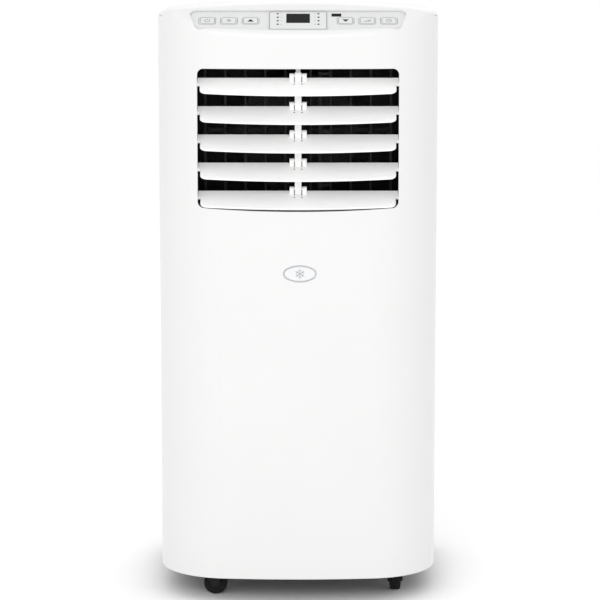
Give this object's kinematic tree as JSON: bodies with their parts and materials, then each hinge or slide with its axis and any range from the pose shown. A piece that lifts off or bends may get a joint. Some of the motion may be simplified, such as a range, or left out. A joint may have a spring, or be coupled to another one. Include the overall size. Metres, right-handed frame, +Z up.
{
  "type": "portable air conditioner",
  "caption": "White free-standing portable air conditioner with a louvred front outlet, sloping control panel, rear intake and exhaust collar, on swivel casters.",
  "frame": {"origin": "floor level under the middle of the machine, wheels and exhaust collar included", "axes": "+Z up, -Y is the front with the louvres, +X is the machine's right as seen from the front"},
  "size_m": [0.33, 0.3001, 0.704],
  "materials": {
    "white_plastic": "smooth moulded white plastic, softly glossy",
    "louvre_plastic": "satin white plastic",
    "panel_grey": "satin light grey plastic",
    "dark_plastic": "fine matte black plastic",
    "smoked_window": "polished smoked plastic",
    "lamp_lens": "frosted clear plastic",
    "wheel_rubber": "matte black rubber",
    "soft_rubber": "matte dark rubber",
    "painted_steel": "black painted steel",
    "bare_steel": "zinc plated steel",
    "fin_aluminium": "bare aluminium",
    "copper_tube": "bare copper tube",
    "board_green": "coated circuit board",
    "filter_mesh": "woven nylon mesh in a plastic frame",
    "badge_grey": "silver grey plastic"
  },
  "bodies": {
    "case": {"front_cover": "white_plastic", "rear_cover": "white_plastic", "top_cover": "white_plastic", "case_screws": "bare_steel", "base_pan": "dark_plastic", "middle_deck": "bare_steel", "badge": "badge_grey", "control_fascia": "panel_grey", "display_bezel": "panel_grey", "display_window": "smoked_window", "indicator_lenses": "lamp_lens", "receiver_window": "smoked_window", "control_board": "board_green", "outlet_frame": "louvre_plastic", "exhaust_collar": "louvre_plastic", "cord_gland": "soft_rubber", "compressor": "painted_steel", "evaporator_coil": "fin_aluminium", "condenser_coil": "fin_aluminium", "upper_fan_housing": "dark_plastic", "lower_fan_housing": "dark_plastic", "upper_fan_motor": "bare_steel", "lower_fan_motor": "bare_steel", "refrigerant_pipes": "copper_tube"},
    "slat_1": {"slat_1": "louvre_plastic"},
    "slat_2": {"slat_2": "louvre_plastic"},
    "slat_3": {"slat_3": "louvre_plastic"},
    "slat_4": {"slat_4": "louvre_plastic"},
    "slat_5": {"slat_5": "louvre_plastic"},
    "slat_link_bar": {"slat_link_bar": "louvre_plastic"},
    "vane_1": {"vane_1": "dark_plastic"},
    "vane_2": {"vane_2": "dark_plastic"},
    "vane_3": {"vane_3": "dark_plastic"},
    "vane_4": {"vane_4": "dark_plastic"},
    "vane_5": {"vane_5": "dark_plastic"},
    "vane_6": {"vane_6": "dark_plastic"},
    "vane_7": {"vane_7": "dark_plastic"},
    "vane_8": {"vane_8": "dark_plastic"},
    "vane_9": {"vane_9": "dark_plastic"},
    "vane_10": {"vane_10": "dark_plastic"},
    "vane_tie_bar": {"vane_tie_bar": "dark_plastic"},
    "button_power": {"button_power": "panel_grey"},
    "button_mode": {"button_mode": "panel_grey"},
    "button_up": {"button_up": "panel_grey"},
    "button_down": {"button_down": "panel_grey"},
    "button_speed": {"button_speed": "panel_grey"},
    "button_timer": {"button_timer": "panel_grey"},
    "caster_fork_front_left": {"caster_fork_front_left": "dark_plastic"},
    "caster_wheel_front_left": {"caster_wheel_front_left": "wheel_rubber"},
    "caster_fork_front_right": {"caster_fork_front_right": "dark_plastic"},
    "caster_wheel_front_right": {"caster_wheel_front_right": "wheel_rubber"},
    "caster_fork_rear_left": {"caster_fork_rear_left": "dark_plastic"},
    "caster_wheel_rear_left": {"caster_wheel_rear_left": "wheel_rubber"},
    "caster_fork_rear_right": {"caster_fork_rear_right": "dark_plastic"},
    "caster_wheel_rear_right": {"caster_wheel_rear_right": "wheel_rubber"},
    "upper_blower": {"upper_blower": "dark_plastic"},
    "lower_blower": {"lower_blower": "dark_plastic"},
    "intake_panel": {"intake_grille": "louvre_plastic", "air_filter": "filter_mesh"},
    "drain_plug": {"drain_plug": "soft_rubber"}
  },
  "joints": [
    {"name": "slat_1_tilt", "type": "hinge", "parent": "case", "child": "slat_1", "pos_m": [0, -0.127, 0.6114], "axis": [-1, 0, 0], "range_deg": [0, 60]},
    {"name": "slat_2_tilt", "type": "hinge", "parent": "case", "child": "slat_2", "pos_m": [0, -0.127, 0.5785], "axis": [-1, 0, 0], "range_deg": [0, 60]},
    {"name": "slat_3_tilt", "type": "hinge", "parent": "case", "child": "slat_3", "pos_m": [0, -0.127, 0.5456], "axis": [-1, 0, 0], "range_deg": [0, 60]},
    {"name": "slat_4_tilt", "type": "hinge", "parent": "case", "child": "slat_4", "pos_m": [0, -0.127, 0.5127], "axis": [-1, 0, 0], "range_deg": [0, 60]},
    {"name": "slat_5_tilt", "type": "hinge", "parent": "case", "child": "slat_5", "pos_m": [0, -0.127, 0.4798], "axis": [-1, 0, 0], "range_deg": [0, 60]},
    {"name": "link_bar_pivot", "type": "hinge", "parent": "slat_3", "child": "slat_link_bar", "pos_m": [0, -0.119, 0.55559], "axis": [-1, 0, 0], "range_deg": [-60, 0]},
    {"name": "vane_1_swing", "type": "hinge", "parent": "case", "child": "vane_1", "pos_m": [-0.1091, -0.08, 0.548], "axis": [0, 0, 1], "range_deg": [-35, 35]},
    {"name": "vane_2_swing", "type": "hinge", "parent": "case", "child": "vane_2", "pos_m": [-0.0855, -0.08, 0.548], "axis": [0, 0, 1], "range_deg": [-35, 35]},
    {"name": "vane_3_swing", "type": "hinge", "parent": "case", "child": "vane_3", "pos_m": [-0.0619, -0.08, 0.548], "axis": [0, 0, 1], "range_deg": [-35, 35]},
    {"name": "vane_4_swing", "type": "hinge", "parent": "case", "child": "vane_4", "pos_m": [-0.0383, -0.08, 0.548], "axis": [0, 0, 1], "range_deg": [-35, 35]},
    {"name": "vane_5_swing", "type": "hinge", "parent": "case", "child": "vane_5", "pos_m": [-0.0147, -0.08, 0.548], "axis": [0, 0, 1], "range_deg": [-35, 35]},
    {"name": "vane_6_swing", "type": "hinge", "parent": "case", "child": "vane_6", "pos_m": [0.0147, -0.08, 0.548], "axis": [0, 0, 1], "range_deg": [-35, 35]},
    {"name": "vane_7_swing", "type": "hinge", "parent": "case", "child": "vane_7", "pos_m": [0.0383, -0.08, 0.548], "axis": [0, 0, 1], "range_deg": [-35, 35]},
    {"name": "vane_8_swing", "type": "hinge", "parent": "case", "child": "vane_8", "pos_m": [0.0619, -0.08, 0.548], "axis": [0, 0, 1], "range_deg": [-35, 35]},
    {"name": "vane_9_swing", "type": "hinge", "parent": "case", "child": "vane_9", "pos_m": [0.0855, -0.08, 0.548], "axis": [0, 0, 1], "range_deg": [-35, 35]},
    {"name": "vane_10_swing", "type": "hinge", "parent": "case", "child": "vane_10", "pos_m": [0.1091, -0.08, 0.548], "axis": [0, 0, 1], "range_deg": [-35, 35]},
    {"name": "tie_bar_pivot", "type": "hinge", "parent": "vane_7", "child": "vane_tie_bar", "pos_m": [0.0383, -0.062, 0.5544], "axis": [0, 0, 1], "range_deg": [-35, 35]},
    {"name": "button_power_press", "type": "slide", "parent": "case", "child": "button_power", "axis": [0, 0.5299, -0.848], "range_m": [0, 0.0008], "stiffness_N_per_m": 600, "springref_m": -0.001},
    {"name": "button_mode_press", "type": "slide", "parent": "case", "child": "button_mode", "axis": [0, 0.5299, -0.848], "range_m": [0, 0.0008], "stiffness_N_per_m": 600, "springref_m": -0.001},
    {"name": "button_up_press", "type": "slide", "parent": "case", "child": "button_up", "axis": [0, 0.5299, -0.848], "range_m": [0, 0.0008], "stiffness_N_per_m": 600, "springref_m": -0.001},
    {"name": "button_down_press", "type": "slide", "parent": "case", "child": "button_down", "axis": [0, 0.5299, -0.848], "range_m": [0, 0.0008], "stiffness_N_per_m": 600, "springref_m": -0.001},
    {"name": "button_speed_press", "type": "slide", "parent": "case", "child": "button_speed", "axis": [0, 0.5299, -0.848], "range_m": [0, 0.0008], "stiffness_N_per_m": 600, "springref_m": -0.001},
    {"name": "button_timer_press", "type": "slide", "parent": "case", "child": "button_timer", "axis": [0, 0.5299, -0.848], "range_m": [0, 0.0008], "stiffness_N_per_m": 600, "springref_m": -0.001},
    {"name": "caster_front_left_swivel", "type": "hinge", "parent": "case", "child": "caster_fork_front_left", "pos_m": [-0.117, -0.102, 0.04], "axis": [0, 0, 1], "continuous": true},
    {"name": "caster_front_left_roll", "type": "hinge", "parent": "caster_fork_front_left", "child": "caster_wheel_front_left", "pos_m": [-0.099, -0.102, 0.014], "axis": [0, 1, 0], "continuous": true},
    {"name": "caster_front_right_swivel", "type": "hinge", "parent": "case", "child": "caster_fork_front_right", "pos_m": [0.117, -0.102, 0.04], "axis": [0, 0, 1], "continuous": true},
    {"name": "caster_front_right_roll", "type": "hinge", "parent": "caster_fork_front_right", "child": "caster_wheel_front_right", "pos_m": [0.117, -0.084, 0.014], "axis": [1, 0, 0], "continuous": true},
    {"name": "caster_rear_left_swivel", "type": "hinge", "parent": "case", "child": "caster_fork_rear_left", "pos_m": [-0.117, 0.092, 0.04], "axis": [0, 0, 1], "continuous": true},
    {"name": "caster_rear_left_roll", "type": "hinge", "parent": "caster_fork_rear_left", "child": "caster_wheel_rear_left", "pos_m": [-0.117, 0.11, 0.014], "axis": [1, 0, 0], "continuous": true},
    {"name": "caster_rear_right_swivel", "type": "hinge", "parent": "case", "child": "caster_fork_rear_right", "pos_m": [0.117, 0.092, 0.04], "axis": [0, 0, 1], "continuous": true},
    {"name": "caster_rear_right_roll", "type": "hinge", "parent": "caster_fork_rear_right", "child": "caster_wheel_rear_right", "pos_m": [0.117, 0.11, 0.014], "axis": [1, 0, 0], "continuous": true},
    {"name": "upper_blower_spin", "type": "hinge", "parent": "case", "child": "upper_blower", "pos_m": [0, -0.01, 0.547], "axis": [0, 1, 0], "continuous": true},
    {"name": "lower_blower_spin", "type": "hinge", "parent": "case", "child": "lower_blower", "pos_m": [0, 0.085, 0.339], "axis": [0, 1, 0], "continuous": true},
    {"name": "intake_panel_tilt", "type": "hinge", "parent": "case", "child": "intake_panel", "pos_m": [0, 0.13525, 0.4516], "axis": [-1, 0, 0], "range_deg": [0, 55]},
    {"name": "drain_plug_pull", "type": "slide", "parent": "case", "child": "drain_plug", "axis": [0, 1, 0], "range_m": [0, 0.02]}
  ],
  "couplings": [
    {"joint": "slat_1_tilt", "follows": "slat_3_tilt", "ratio": 1},
    {"joint": "slat_2_tilt", "follows": "slat_3_tilt", "ratio": 1},
    {"joint": "slat_4_tilt", "follows": "slat_3_tilt", "ratio": 1},
    {"joint": "slat_5_tilt", "follows": "slat_3_tilt", "ratio": 1},
    {"joint": "link_bar_pivot", "follows": "slat_3_tilt", "ratio": -1},
    {"joint": "vane_1_swing", "follows": "vane_7_swing", "ratio": 1},
    {"joint": "vane_2_swing", "follows": "vane_7_swing", "ratio": 1},
    {"joint": "vane_3_swing", "follows": "vane_7_swing", "ratio": 1},
    {"joint": "vane_4_swing", "follows": "vane_7_swing", "ratio": 1},
    {"joint": "vane_5_swing", "follows": "vane_7_swing", "ratio": 1},
    {"joint": "vane_6_swing", "follows": "vane_7_swing", "ratio": 1},
    {"joint": "vane_8_swing", "follows": "vane_7_swing", "ratio": 1},
    {"joint": "vane_9_swing", "follows": "vane_7_swing", "ratio": 1},
    {"joint": "vane_10_swing", "follows": "vane_7_swing", "ratio": 1},
    {"joint": "tie_bar_pivot", "follows": "vane_7_swing", "ratio": -1}
  ]
}
